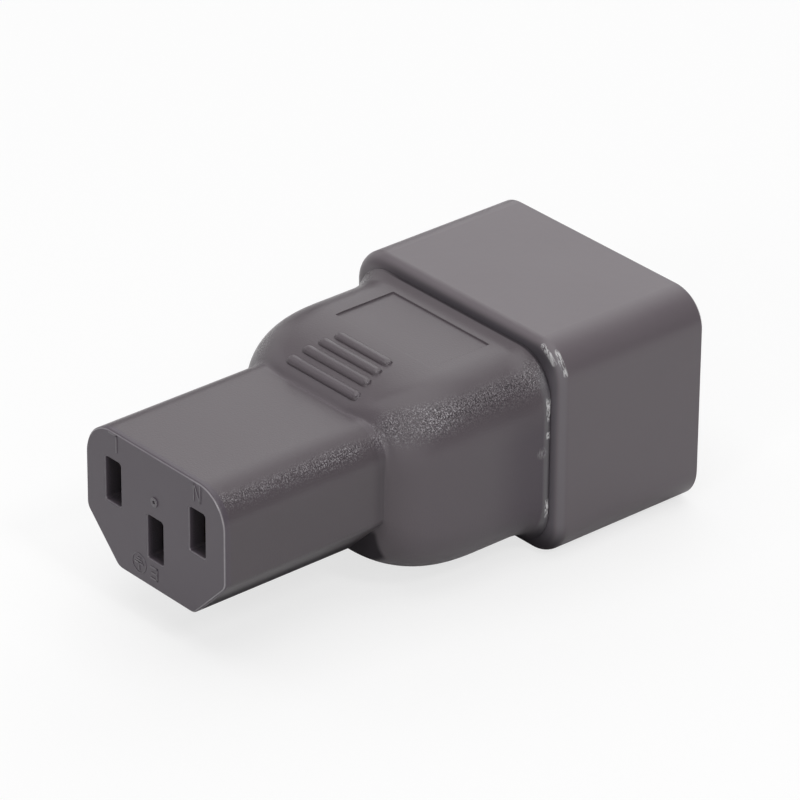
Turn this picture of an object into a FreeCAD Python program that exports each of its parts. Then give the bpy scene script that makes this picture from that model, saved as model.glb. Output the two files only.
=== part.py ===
import FreeCAD, Part
import math
import os

# Mains adapter: a three-slot outlet nose, a moulded grip and a shrouded three-blade inlet.
# +X is right when facing the outlet, +Y runs from the outlet face to the inlet rim, +Z is up.
# A station is a distance along +Y from the outlet face, and a height is from the connector axis.
# All sizes are in millimetres.

# Outlet nose
nose_width = 23.1
nose_height = 16.0
nose_length = 20.8
nose_top_radius = 4.2
nose_chamfer = 5.3
nose_chamfer_radius = 1.5

# Grip and the swept shoulder that rises to it from the nose
grip_width = 31.4
grip_height = 22.05
grip_corner_radius = 6.6
seam_station = 41.0
shoulder_length = 11.95
shoulder_side_drop = 7.6
shoulder_top_drop = 4.75
shoulder_fullness = 2.4
shoulder_steps = 12

# Flare that the grip ends in at the seam, hollow and squarer than the grip
flare_length = 1.6
flare_rise = 0.68
flare_corner_radius = 4.5
flare_steps = 3

# Thumb ribs across the shoulder
rib_count = 4
rib_first = 2.0
rib_pitch = 1.82
rib_width = 1.25
rib_height = 0.45
rib_bevel = 0.25
rib_root = 1.0
rib_length = 11.5
rib_shortening = 0.93

# Shallow level panel on top of the grip
panel_width = 15.6
panel_length = 8.1
panel_depth = 0.2
panel_setback = 1.9

# Inlet shroud, and the spigot that keys it into the grip
shroud_width = 33.6
shroud_height = 25.5
shroud_length = 21.0
shroud_corner_radius = 4.2
shroud_front_round = 1.6
shroud_wall = 2.5
rim_chamfer = 0.4
cavity_depth = 20.0
spigot_width = 26.0
spigot_height = 17.0
spigot_radius = 3.0
spigot_length = 4.5
spigot_groove_width = 1.5
spigot_groove_depth = 0.8

# Outlet core: the face plate, the block behind it and the cap that closes its chambers
face_thickness = 0.8
face_edge_chamfer = 0.2
skin_thickness = 1.4
front_wall = 2.0
slot_pitch = 14.0
slot_rise = 2.0
slot_width = 2.6
slot_height = 5.15
slot_corner_radius = 0.3
slot_lead_in = 0.15
chamber_width = 4.2
chamber_height = 6.0
cap_thickness = 1.8
cap_setback = 0.3
cap_clearance = 0.1
gate_rise = 2.6
gate_radius = 0.55
gate_hole_radius = 0.2
gate_hole_depth = 0.5
gate_height = 0.12

# Spring contacts, folded from strip
strip_thickness = 0.6
strip_bend = 0.4
contact_width = 3.5
contact_top = 2.9
contact_bottom = 1.8
contact_gap = 1.6
contact_mouth_gap = 2.8
contact_mouth_setback = 0.6
contact_pinch_length = 2.0
contact_pinch_bend = 1.5
contact_leaf_length = 6.4
contact_leaf_overlap = 1.0
contact_rear_setback = 3.0
tail_width = 2.6

# Inlet blades
blade_width = 8.0
blade_thickness = 2.0
blade_edge_chamfer = 0.25
blade_pitch = 13.0
blade_rise = 4.0
blade_reach = 16.5
blade_tip_length = 1.2
blade_tip_inset = 0.5
blade_root_setback = 1.0
blade_notch_setback = 1.4
blade_notch_width = 1.5
blade_notch_depth = 0.7
blade_tail_width = 5.0
blade_tail_radius = 1.2

# Rivets that join each contact tail to its blade tail
rivet_radius = 1.0
rivet_head_radius = 1.7
rivet_head_height = 0.7
lap_half_length = 2.6
joggle_start_share = 0.35
joggle_end_share = 0.75

# Smallest flat and rounding that an outline keeps when its neighbours change
least_flat = 0.1
least_round = 0.2

# Stations that follow from the sizes above
rim_station = seam_station + shroud_length
floor_station = rim_station - cavity_depth
spigot_front = seam_station - spigot_length
shoulder_end = nose_length + shoulder_length
flare_start = seam_station - flare_length
cap_rear = nose_length - cap_setback
core_rear = cap_rear - cap_thickness
contact_rear = core_rear - contact_rear_setback
rivet_station = (cap_rear + spigot_front) / 2
lap_front = rivet_station - lap_half_length
lap_rear = rivet_station + lap_half_length
blade_root = spigot_front + blade_root_setback
blade_tip = floor_station + blade_reach

# Each way: its name, slot centre, blade centre, and which side of the axis it lies on
ways = [
    ("line", -slot_pitch / 2, -blade_pitch / 2, 1),
    ("neutral", slot_pitch / 2, blade_pitch / 2, 1),
    ("earth", 0.0, 0.0, -1),
]


def across(station):
    return lambda a, b: FreeCAD.Vector(a, station, b)


def from_above(height):
    return lambda a, b: FreeCAD.Vector(a, b, height)


def from_side(x):
    return lambda a, b: FreeCAD.Vector(x, a, b)


def rounded_wire(corners, spot):
    """Closed wire through (a, b, radius) corners; spot turns a and b into a point in space."""
    starts = []
    ends = []
    middles = []
    for index, (a, b, radius) in enumerate(corners):
        here = FreeCAD.Vector(a, b, 0)
        back = FreeCAD.Vector(*corners[index - 1][:2], 0) - here
        ahead = FreeCAD.Vector(*corners[(index + 1) % len(corners)][:2], 0) - here
        back.normalize()
        ahead.normalize()
        half_angle = back.getAngle(ahead) / 2
        reach = radius / math.tan(half_angle)
        bisector = back + ahead
        if radius > 0:
            bisector.normalize()
        starts.append(here + back * reach)
        ends.append(here + ahead * reach)
        middles.append(here + bisector * (radius / math.sin(half_angle) - radius))
    edges = []
    for index, (a, b, radius) in enumerate(corners):
        start = starts[index]
        end = ends[index]
        following = starts[(index + 1) % len(corners)]
        if radius > 0:
            arc = [spot(point.x, point.y) for point in (start, middles[index], end)]
            edges.append(Part.Arc(*arc).toShape())
        if end.distanceToPoint(following) > 1e-6:
            line = [spot(point.x, point.y) for point in (end, following)]
            edges.append(Part.LineSegment(*line).toShape())
    return Part.Wire(edges)


def prism(corners, spot, travel):
    return Part.Face(rounded_wire(corners, spot)).extrude(travel)


def along(length):
    return FreeCAD.Vector(0, length, 0)


def upward(length):
    return FreeCAD.Vector(0, 0, length)


def rectangle(width, height, radius, a=0.0, b=0.0):
    return [
        (a - width / 2, b - height / 2, radius),
        (a + width / 2, b - height / 2, radius),
        (a + width / 2, b + height / 2, radius),
        (a - width / 2, b + height / 2, radius),
    ]


def bevelled_rectangle(width, height, bevel, a=0.0, b=0.0):
    half_width = width / 2
    half_height = height / 2
    quarter = [(half_width, half_height - bevel), (half_width - bevel, half_height)]
    right = [(x, -z) for x, z in quarter[::-1]] + quarter
    whole = right + [(-x, z) for x, z in right[::-1]]
    return [(a + x, b + z, 0) for x, z in whole]


def bar(outline, start, end):
    """Prism of an outline in the section plane, from one station to another."""
    return prism(outline, across(start), along(end - start))


def loop_at(shape, station):
    """Edges that lie in the section plane at a station."""
    flat = []
    for edge in shape.Edges:
        box = edge.BoundBox
        if abs(box.YMin - station) < 1e-4 and abs(box.YMax - station) < 1e-4:
            flat.append(edge)
    return flat


def inside(edges, width, height, x=0.0, z=0.0):
    """Those of the edges that stay within a rectangle in the section plane."""
    slack = 1e-3
    kept = []
    for edge in edges:
        box = edge.BoundBox
        fits_across = max(box.XMax - x, x - box.XMin) < width / 2 + slack
        fits_up = max(box.ZMax - z, z - box.ZMin) < height / 2 + slack
        if fits_across and fits_up:
            kept.append(edge)
    return kept


def strip_outline(path, thickness):
    """Outline of a bent strip; path holds (a, b, inner bend radius) along its middle line."""
    points = [FreeCAD.Vector(a, b, 0) for a, b, bend in path]
    runs = []
    for here, there in zip(points, points[1:]):
        run = there - here
        run.normalize()
        runs.append(run)
    left = []
    right = []
    for index, (a, b, bend) in enumerate(path):
        run_in = runs[max(index - 1, 0)]
        run_out = runs[min(index, len(runs) - 1)]
        side_in = FreeCAD.Vector(-run_in.y, run_in.x, 0)
        side_out = FreeCAD.Vector(-run_out.y, run_out.x, 0)
        mitre = side_in + side_out
        mitre.normalize()
        offset = mitre * (thickness / 2 / mitre.dot(side_out))
        turn = run_in.cross(run_out).z
        left_bend = right_bend = 0.0
        if turn > 1e-6:
            left_bend, right_bend = bend, bend + thickness
        if turn < -1e-6:
            left_bend, right_bend = bend + thickness, bend
        left.append((a + offset.x, b + offset.y, left_bend))
        right.append((a - offset.x, b - offset.y, right_bend))
    return left + right[::-1]


def nose_outline(inset):
    """Section of the nose, set in from its outside: round above, chamfered below."""
    half_width = nose_width / 2 - inset
    half_height = nose_height / 2 - inset
    cut = nose_chamfer - inset * (2 - math.sqrt(2))
    top_radius = max(nose_top_radius - inset, least_round)
    cut_radius = max(nose_chamfer_radius - inset, least_round)
    return [
        (-half_width, half_height, top_radius),
        (-half_width, cut - half_height, cut_radius),
        (cut - half_width, -half_height, cut_radius),
        (half_width - cut, -half_height, cut_radius),
        (half_width, cut - half_height, cut_radius),
        (half_width, half_height, top_radius),
    ]


def shoulder_point(turn):
    """Station, and share of the drop still left, at a turn of 0 to 90 degrees round the shoulder."""
    power = 2 / shoulder_fullness
    station = nose_length + shoulder_length * (1 - math.cos(math.radians(turn)) ** power)
    drop_left = 1 - math.sin(math.radians(turn)) ** power
    return station, drop_left


def grip_outline(drop_left):
    width = grip_width - 2 * shoulder_side_drop * drop_left
    height = grip_height - 2 * shoulder_top_drop * drop_left
    radius = min(grip_corner_radius, height / 2 - least_flat)
    return rectangle(width, height, radius)


def flare_outline(share):
    """Section of the grip's flare, at a share of its length from 0 to 1."""
    spread = share ** 2
    height = grip_height + 2 * flare_rise * spread
    radius = grip_corner_radius + (flare_corner_radius - grip_corner_radius) * spread
    return rectangle(grip_width, height, radius)


def thumb_rib(index):
    """Round-ended rib with a bevelled top, square to the shoulder where it stands."""
    station = nose_length + rib_first + index * rib_pitch
    length = rib_length - index * rib_shortening
    share = 1 - (station - nose_length) / shoulder_length
    turn = math.acos(share ** (shoulder_fullness / 2))
    power = 2 / shoulder_fullness
    run = shoulder_length * math.cos(turn) ** (power - 1) * math.sin(turn)
    rise = shoulder_top_drop * math.sin(turn) ** (power - 1) * math.cos(turn)
    height = grip_height / 2 - shoulder_top_drop * (1 - math.sin(turn) ** power)
    outline = rectangle(length, rib_width, rib_width / 2)
    rib = prism(outline, from_above(-rib_root), upward(rib_root + rib_height))
    top_edges = [edge for edge in rib.Edges if edge.BoundBox.ZMin > rib_height - least_flat]
    rib = rib.makeChamfer(rib_bevel, top_edges)
    slope = math.degrees(math.atan2(rise, run))
    rib.rotate(FreeCAD.Vector(0, 0, 0), FreeCAD.Vector(1, 0, 0), slope)
    rib.translate(FreeCAD.Vector(0, station, height))
    return rib


def grip_panel():
    """Block that the level panel takes out of the grip's top."""
    top = grip_height / 2
    rear = seam_station - panel_setback
    front = rear - panel_length
    floor = top - panel_depth
    sky = top + rib_root
    side = [
        (front, floor, 0),
        (rear, floor, 0),
        (rear, sky, 0),
        (front, sky, 0),
    ]
    return prism(side, from_side(-panel_width / 2), FreeCAD.Vector(panel_width, 0, 0))


def outer_moulding():
    """Nose skin, shoulder, grip, flare, ribs and panel, still filled solid."""
    sections = []
    for step in range(shoulder_steps + 1):
        station, drop_left = shoulder_point(90 * step / shoulder_steps)
        sections.append(rounded_wire(grip_outline(drop_left), across(station)))
    shoulder = Part.makeLoft(sections, True, True)
    grip = bar(grip_outline(0), shoulder_end, flare_start)
    rings = []
    for step in range(flare_steps + 1):
        share = step / flare_steps
        rings.append(rounded_wire(flare_outline(share), across(flare_start + flare_length * share)))
    flare = Part.makeLoft(rings, True, True)
    nose_end = nose_length + shoulder_length / 2
    nose = bar(nose_outline(0), face_thickness, nose_end)
    moulding = shoulder.fuse([grip, flare, nose])
    moulding = moulding.cut(grip_panel())
    ribs = [thumb_rib(index) for index in range(rib_count)]
    return moulding.fuse(ribs).removeSplitter()


def outlet_core():
    """Face plate and block in one, with a slot and a chamber for each contact."""
    plate = bar(nose_outline(0), 0, face_thickness)
    plate = plate.makeChamfer(face_edge_chamfer, loop_at(plate, 0))
    core = plate.fuse(bar(nose_outline(skin_thickness), face_thickness, core_rear))
    for name, x, blade_x, side in ways:
        z = side * slot_rise
        slot = rectangle(slot_width, slot_height, slot_corner_radius, x, z)
        chamber = rectangle(chamber_width, chamber_height, 0, x, z)
        core = core.cut(bar(slot, 0, front_wall))
        core = core.cut(bar(chamber, front_wall, core_rear))
        mouth = inside(loop_at(core, 0), slot_width, slot_height, x, z)
        core = core.makeChamfer(slot_lead_in, mouth)
    gate_spot = FreeCAD.Vector(0, -gate_height, gate_rise)
    gate = Part.makeCylinder(gate_radius, gate_height, gate_spot, along(1))
    gate_hole = Part.makeCylinder(gate_hole_radius, gate_hole_depth, gate_spot, along(1))
    return core.fuse(gate).cut(gate_hole).removeSplitter()


def tail_height():
    """Middle of a contact's flat tail where it leaves the core, above the pin's centre."""
    return contact_top - strip_thickness / 2


def outlet_core_cap():
    cap = bar(nose_outline(skin_thickness), core_rear, cap_rear)
    for name, x, blade_x, side in ways:
        z = side * (slot_rise + tail_height())
        gap = rectangle(tail_width + 2 * cap_clearance, strip_thickness + 2 * cap_clearance, 0, x, z)
        cap = cap.cut(bar(gap, core_rear, cap_rear))
    return cap


def spring_contact(x, side):
    """Channel with two sprung leaves in front and a joggled tail that laps the blade behind."""
    half = (contact_width - strip_thickness) / 2
    plate = tail_height()
    leaf_root = front_wall + contact_mouth_setback + contact_leaf_length
    channel_path = [
        (-half, -contact_bottom, 0),
        (-half, plate, strip_bend),
        (half, plate, strip_bend),
        (half, -contact_bottom, 0),
    ]
    contact = bar(strip_outline(channel_path, strip_thickness), leaf_root, contact_rear)
    mouth_station = front_wall + contact_mouth_setback
    pinch_station = mouth_station + contact_pinch_length
    for hand in (-1, 1):
        leaf_path = [
            (hand * half, leaf_root + contact_leaf_overlap, 0),
            (hand * half, leaf_root, contact_pinch_bend),
            (hand * (contact_gap + strip_thickness) / 2, pinch_station, contact_pinch_bend),
            (hand * (contact_mouth_gap + strip_thickness) / 2, mouth_station, 0),
        ]
        leaf = strip_outline(leaf_path, strip_thickness)
        contact = contact.fuse(prism(leaf, from_above(-contact_bottom), upward(2 * contact_bottom)))
    landing = blade_rise + (blade_thickness + strip_thickness) / 2 - slot_rise
    run = lap_front - cap_rear
    tail_path = [
        (contact_rear, plate, 0),
        (cap_rear + joggle_start_share * run, plate, strip_bend),
        (cap_rear + joggle_end_share * run, landing, strip_bend),
        (lap_rear, landing, 0),
    ]
    tail = strip_outline(tail_path, strip_thickness)
    tail = prism(tail, from_side(-tail_width / 2), FreeCAD.Vector(tail_width, 0, 0))
    hole_spot = FreeCAD.Vector(0, rivet_station, landing - strip_thickness)
    hole = Part.makeCylinder(rivet_radius, 2 * strip_thickness, hole_spot)
    contact = contact.fuse(tail).cut(hole).removeSplitter()
    if side < 0:
        contact.rotate(FreeCAD.Vector(0, 0, 0), FreeCAD.Vector(0, 1, 0), 180)
    contact.translate(FreeCAD.Vector(x, 0, side * slot_rise))
    return contact


def inlet_blade(x, contact_x, side):
    """Flat blade with a tapered tip, keying notches in the floor and a riveted tail."""
    z = side * blade_rise
    section = bevelled_rectangle(blade_width, blade_thickness, blade_edge_chamfer, x, z)
    tip_width = blade_width - 2 * blade_tip_inset
    tip_thickness = blade_thickness - 2 * blade_tip_inset
    tip_section = bevelled_rectangle(tip_width, tip_thickness, blade_edge_chamfer, x, z)
    taper_start = blade_tip - blade_tip_length
    blade = bar(section, blade_root, taper_start)
    taper_ends = [
        rounded_wire(section, across(taper_start)),
        rounded_wire(tip_section, across(blade_tip)),
    ]
    blade = blade.fuse(Part.makeLoft(taper_ends, True, True))
    tail_plan = [
        (contact_x - blade_tail_width / 2, lap_front, blade_tail_radius),
        (contact_x + blade_tail_width / 2, lap_front, blade_tail_radius),
        (contact_x + blade_tail_width / 2, blade_root, 0),
        (contact_x - blade_tail_width / 2, blade_root, 0),
    ]
    low = z - blade_thickness / 2
    blade = blade.fuse(prism(tail_plan, from_above(low), upward(blade_thickness)))
    notch_station = blade_root + blade_notch_setback
    for hand in (-1, 1):
        edge_x = x + hand * blade_width / 2
        notch = rectangle(2 * blade_notch_depth, 2 * blade_thickness, 0, edge_x, z)
        blade = blade.cut(bar(notch, notch_station, notch_station + blade_notch_width))
    hole_spot = FreeCAD.Vector(contact_x, rivet_station, low)
    hole = Part.makeCylinder(rivet_radius, blade_thickness, hole_spot)
    return blade.cut(hole).removeSplitter()


def contact_rivet(x, side):
    """Two flat heads and a shank through the lapped tails."""
    grip = blade_thickness + strip_thickness
    rivet = Part.makeCylinder(rivet_radius, grip)
    for base in (-rivet_head_height, grip):
        head = Part.makeCylinder(rivet_head_radius, rivet_head_height, FreeCAD.Vector(0, 0, base))
        rivet = rivet.fuse(head)
    rivet = rivet.removeSplitter()
    rivet.translate(FreeCAD.Vector(0, 0, blade_rise - blade_thickness / 2))
    if side < 0:
        rivet.rotate(FreeCAD.Vector(0, 0, 0), FreeCAD.Vector(0, 1, 0), 180)
    rivet.translate(FreeCAD.Vector(x, rivet_station, 0))
    return rivet


def inlet_shroud(blades):
    """Shroud, floor and keyed spigot in one moulding round the blades."""
    shroud = bar(rectangle(shroud_width, shroud_height, shroud_corner_radius), seam_station, rim_station)
    shroud = shroud.makeFillet(shroud_front_round, loop_at(shroud, seam_station))
    shroud = shroud.makeChamfer(rim_chamfer, loop_at(shroud, rim_station))
    cavity_width = shroud_width - 2 * shroud_wall
    cavity_height = shroud_height - 2 * shroud_wall
    cavity_radius = max(shroud_corner_radius - shroud_wall, least_round)
    shroud = shroud.cut(bar(rectangle(cavity_width, cavity_height, cavity_radius), floor_station, rim_station))
    mouth = inside(loop_at(shroud, rim_station), cavity_width, cavity_height)
    shroud = shroud.makeChamfer(rim_chamfer, mouth)
    spigot = bar(rectangle(spigot_width, spigot_height, spigot_radius), spigot_front, seam_station)
    groove_start = (spigot_front + seam_station - spigot_groove_width) / 2
    groove_end = groove_start + spigot_groove_width
    groove_width = spigot_width - 2 * spigot_groove_depth
    groove_height = spigot_height - 2 * spigot_groove_depth
    groove_radius = spigot_radius - spigot_groove_depth
    collar = bar(rectangle(spigot_width, spigot_height, spigot_radius), groove_start, groove_end)
    waist = bar(rectangle(groove_width, groove_height, groove_radius), groove_start, groove_end)
    spigot = spigot.cut(collar.cut(waist))
    return shroud.fuse(spigot).cut(blades).removeSplitter()


def write(name, shape):
    """Shift a piece so that the part stands on its lowest face, centred, and save it."""
    middle = (rim_station - gate_height) / 2
    lift = max(shroud_height, grip_height + 2 * flare_rise) / 2
    placed = shape.copy()
    placed.translate(FreeCAD.Vector(0, -middle, lift))
    placed.exportStep("parts/" + name + ".step")
    print(name, "solids", len(placed.Solids), "valid", placed.isValid(), "volume", round(placed.Volume, 1))


def main():
    os.makedirs("parts", exist_ok=True)
    contacts = [spring_contact(x, side) for name, x, blade_x, side in ways]
    blades = [inlet_blade(blade_x, x, side) for name, x, blade_x, side in ways]
    rivets = [contact_rivet(x, side) for name, x, blade_x, side in ways]
    shroud = inlet_shroud(blades)
    core_envelope = bar(nose_outline(skin_thickness), face_thickness, cap_rear)
    moulding = outer_moulding().cut([core_envelope, shroud] + contacts + blades + rivets)
    write("grip_overmold", moulding)
    write("inlet_shroud", shroud)
    write("outlet_core", outlet_core())
    write("outlet_core_cap", outlet_core_cap())
    for (name, x, blade_x, side), contact, blade in zip(ways, contacts, blades):
        write(name + "_contact", contact)
        write(name + "_blade", blade)
    write("contact_rivets", Part.makeCompound(rivets))


main()
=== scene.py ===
import bpy
import math
import random
from mathutils import Matrix, Vector
from mathutils import noise as ragged


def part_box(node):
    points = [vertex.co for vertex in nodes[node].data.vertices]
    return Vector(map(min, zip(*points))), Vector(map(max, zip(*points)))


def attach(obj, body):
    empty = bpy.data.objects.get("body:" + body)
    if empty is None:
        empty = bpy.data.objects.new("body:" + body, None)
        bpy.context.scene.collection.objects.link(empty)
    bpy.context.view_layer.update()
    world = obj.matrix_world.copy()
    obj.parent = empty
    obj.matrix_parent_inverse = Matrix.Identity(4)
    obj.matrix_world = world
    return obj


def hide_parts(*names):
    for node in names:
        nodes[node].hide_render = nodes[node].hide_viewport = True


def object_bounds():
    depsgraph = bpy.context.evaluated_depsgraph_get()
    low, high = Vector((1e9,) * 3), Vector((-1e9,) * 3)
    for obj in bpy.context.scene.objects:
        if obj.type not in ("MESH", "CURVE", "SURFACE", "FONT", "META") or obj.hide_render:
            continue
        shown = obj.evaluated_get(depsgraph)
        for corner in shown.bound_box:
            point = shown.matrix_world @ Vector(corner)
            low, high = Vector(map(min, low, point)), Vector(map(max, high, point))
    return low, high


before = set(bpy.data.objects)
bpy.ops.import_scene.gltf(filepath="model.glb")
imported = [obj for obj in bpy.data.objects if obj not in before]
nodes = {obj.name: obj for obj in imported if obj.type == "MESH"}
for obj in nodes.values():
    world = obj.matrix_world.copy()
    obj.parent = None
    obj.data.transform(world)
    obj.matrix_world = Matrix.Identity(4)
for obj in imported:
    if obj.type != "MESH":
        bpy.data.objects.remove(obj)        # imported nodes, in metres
cadLow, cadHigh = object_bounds()
mm = 0.001
print("frame loaded:", len(nodes), "nodes")

# Places below are in mm: across the part, along it from the outlet face, and up from its axis
gateHeight = 0.12        # the gate ring stands this far out of the outlet face
flareRise = 0.68         # the grip rises this far above its flat top at the seam
coreLow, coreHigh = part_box("outlet_core")
gripLow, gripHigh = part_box("grip_overmold")
shroudLow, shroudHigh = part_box("inlet_shroud")
faceY = coreLow.y + gateHeight * mm
axisZ = (shroudLow.z + shroudHigh.z) / 2
noseHalf = ((coreHigh.x - coreLow.x) / 2 / mm, (coreHigh.z - coreLow.z) / 2 / mm)
gripHalf = ((gripHigh.x - gripLow.x) / 2 / mm, (axisZ - gripLow.z) / mm - flareRise)
noseFront = (gripLow.y - faceY) / mm
seam = (gripHigh.y - faceY) / mm


def place(across, along, up):
    return Vector((across * mm, faceY + along * mm, axisZ + up * mm))


def smoothStep(low, high, value):
    share = min(max((value - low) / (high - low), 0), 1)
    return share * share * (3 - 2 * share)


def evenly(start, end, step):
    count = max(1, round(abs(end - start) / step))
    return [start + (end - start) * index / count for index in range(count + 1)]


# Shader maths: a Signal is one output of a shader node, and sums of Signals add Math nodes
class Signal:
    def __init__(self, tree, socket=None):
        self.tree = tree
        self.socket = socket

    def node(self, kind, settings=None, sockets=None, output=0):
        made = self.tree.nodes.new(kind)
        for name, value in (settings or {}).items():
            setattr(made, name, value)
        for name, value in (sockets or {}).items():
            if isinstance(value, Signal):
                self.tree.links.new(value.socket, made.inputs[name])
            else:
                made.inputs[name].default_value = value
        return Signal(self.tree, made.outputs[output] if made.outputs else None)

    def math(self, operation, first, second):
        return self.node("ShaderNodeMath", {"operation": operation}, {0: first, 1: second})

    def __add__(self, other):
        return self.math("ADD", self, other)

    def __radd__(self, other):
        return self.math("ADD", other, self)

    def __sub__(self, other):
        return self.math("SUBTRACT", self, other)

    def __rsub__(self, other):
        return self.math("SUBTRACT", other, self)

    def __mul__(self, other):
        return self.math("MULTIPLY", self, other)

    def __rmul__(self, other):
        return self.math("MULTIPLY", other, self)

    def __truediv__(self, other):
        return self.math("DIVIDE", self, other)

    def __abs__(self):
        return self.math("ABSOLUTE", self, 0)

    def rise(self, low, high):      # 0 below low, 1 above high, soft between
        sockets = {"Value": self, "From Min": low, "From Max": high}
        return self.node("ShaderNodeMapRange", {"interpolation_type": "SMOOTHSTEP"}, sockets)

    def fall(self, low, high):      # 1 below low, 0 above high
        return 1 - self.rise(low, high)

    def band(self, start, full, fade, end):     # 1 from full to fade, 0 before start and after end
        return self.rise(start, full) * self.fall(fade, end)

    def lessen(self, share):        # 1 where the signal is 0, less by a share where it is 1
        return 1 - share * self

    def atLeast(self, least):       # the signal's 0 lifted to a least value
        return least + (1 - least) * self

    def vary(self, amount):         # noise as a change either way
        return amount * (self - 0.5)

    def blend(self, other, share):
        return (1 - share) * self + share * other

    def tint(self, dark, light):    # a colour between two colours
        sockets = {0: self, 6: dark, 7: light}      # the Mix node's factor and its two colours
        return self.node("ShaderNodeMix", {"data_type": "RGBA"}, sockets, output=2)

    def grain(self, size, detail=2.0, roughness=0.5, stretch=(1, 1, 1), turn=(0, 0, 0)):
        # noise with spots of a size in mm, drawn out where stretch is below 1, on axes that turn tilts
        sizes = tuple(size * mm / share for share in stretch)
        sockets = {"Vector": self, "Rotation": turn, "Scale": sizes}
        scaled = self.node("ShaderNodeMapping", {"vector_type": "TEXTURE"}, sockets)
        sockets = {"Vector": scaled, "Scale": 1.0, "Detail": detail, "Roughness": roughness}
        return self.node("ShaderNodeTexNoise", {"noise_dimensions": "3D"}, sockets)

    def relief(self, depth):        # bump of a depth in mm
        return self.node("ShaderNodeBump", None, {"Height": self, "Distance": depth * mm})

    def nearness(self, at, reach, core=0.3):
        # 1 within a core share of a reach in mm about a place, 0 beyond the reach
        sockets = {0: self, 1: tuple(place(*at))}
        away = self.node("ShaderNodeVectorMath", {"operation": "DISTANCE"}, sockets, output="Value")
        return (away / mm).fall(core * reach, reach)

    def axes(self):                 # across, along and up in mm, as place() takes them
        parts = self.node("ShaderNodeSeparateXYZ", None, {0: self}).socket.node.outputs
        across, along, up = [Signal(self.tree, part) / mm for part in parts]
        return across, along - faceY / mm, up - axisZ / mm


# Finishes: in their dictionaries, a pair is a soft step from 0 to 1, and four values are a band
plasticIor = 1.5
# Painted shade: a dull dark film that the finishes mix in where shade falls
paintedShadeFilm = {"Base Color": (0.030, 0.026, 0.031, 1), "Roughness": 1.0, "Specular IOR Level": 0.0}


def startFinish(name):
    material = bpy.data.materials.new(name)
    material.use_nodes = True
    material.node_tree.nodes.clear()
    spot = Signal(material.node_tree).node("ShaderNodeTexCoord", output="Object")
    return material, spot


def endFinish(material, spot, colour, rough, normal, metallic=0.0, film=None):
    sockets = {"Base Color": colour, "Roughness": rough, "Normal": normal, "Metallic": metallic,
               "IOR": plasticIor}
    shader = spot.node("ShaderNodeBsdfPrincipled", None, sockets)
    if film is not None:        # painted shade: a dull dark film over places where shade falls
        paintedShade = spot.node("ShaderNodeBsdfPrincipled", None, paintedShadeFilm)
        shader = spot.node("ShaderNodeMixShader", None, {0: film, 1: shader, 2: paintedShade})
    spot.node("ShaderNodeOutputMaterial", None, {"Surface": shader})
    print("finish:", material.name)
    return material


noseEnd = (20.8, 21.0)      # along the skin, where its nose turns into the shoulder
# Painted light and painted shade on the grip's sides, shoulder and nose
paintedGripLightAndShade = {
    "seamShade": 0.50,      # painted shade: how much darker the grip's sides get towards the seam
    "shadeColour": (0.030, 0.014, 0.034, 1),
    "shadeAlong": (27, 39), "shadeAcross": (13.0, 15.6), "shadeUp": (3, 8),
    "paintedLight": 0.5,          # painted light on the sides of the shoulder
    "paintedLightColour": (0.132, 0.113, 0.127, 1),
    "paintedLightAlong": (21.5, 25.0, 32.0, 38.0), "paintedLightAcross": (10.5, 13.5), "paintedLightUp": (5, 9),
    "noseShade": 0.08,      # painted shade on the sides of the nose
    "noseColour": (0, 0, 0, 1),
    "noseUp": (3, 7),
    "footPaintedLight": 0.6,      # painted light on the foot of the shoulder, above the nose
    "footAlong": (22.0, 24.5), "footUp": (4, 6),
}


def paintedGripLightAndShadeColour(spot, colour):
    spec = paintedGripLightAndShade
    across, along, up = spot.axes()
    beside = abs(across)
    onNose = along.fall(*noseEnd)
    shade = along.rise(*spec["shadeAlong"]) * beside.rise(*spec["shadeAcross"])
    shade = shade * up.fall(*spec["shadeUp"])
    paintedLight = along.band(*spec["paintedLightAlong"]) * beside.rise(*spec["paintedLightAcross"])
    paintedLight = paintedLight * up.fall(*spec["paintedLightUp"])
    foot = (1 - onNose) * along.fall(*spec["footAlong"]) * up.rise(*spec["footUp"])
    colour = (spec["seamShade"] * shade).tint(colour, spec["shadeColour"])
    colour = (spec["paintedLight"] * paintedLight).tint(colour, spec["paintedLightColour"])
    colour = (spec["noseShade"] * onNose * up.fall(*spec["noseUp"])).tint(colour, spec["noseColour"])
    return (spec["footPaintedLight"] * foot).tint(colour, spec["paintedLightColour"])


paintedGlints = {
    "size": 0.16,           # painted glints: grain tips painted pale on the right rounded edges, over painted dark pits
    "tips": (0.55, 0.64),
    "tipColour": (0.36, 0.34, 0.36, 1),
    "pits": (0.36, 0.44),
    "pitColour": (0.040, 0.035, 0.040, 1),
    "right": (3, 7),
    "least": 0.50,
    "gripMore": 0.45, "gripAlong": (24.4, 26.8),
    "bandMore": 0.25,       # on the rear of the nose and on the shoulder's foot
    "bands": [(12.0, 15.0, 17.5, 20.0), (21.8, 22.5, 23.0, 23.9)],
    "tipFade": 0.5, "tipAlong": (27.5, 31.0),
    "seamFade": 0.7, "seamAlong": (39.5, 40.5),
    "creaseFade": 0.8, "creaseAlong": (18.3, 19.8),
}


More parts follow.
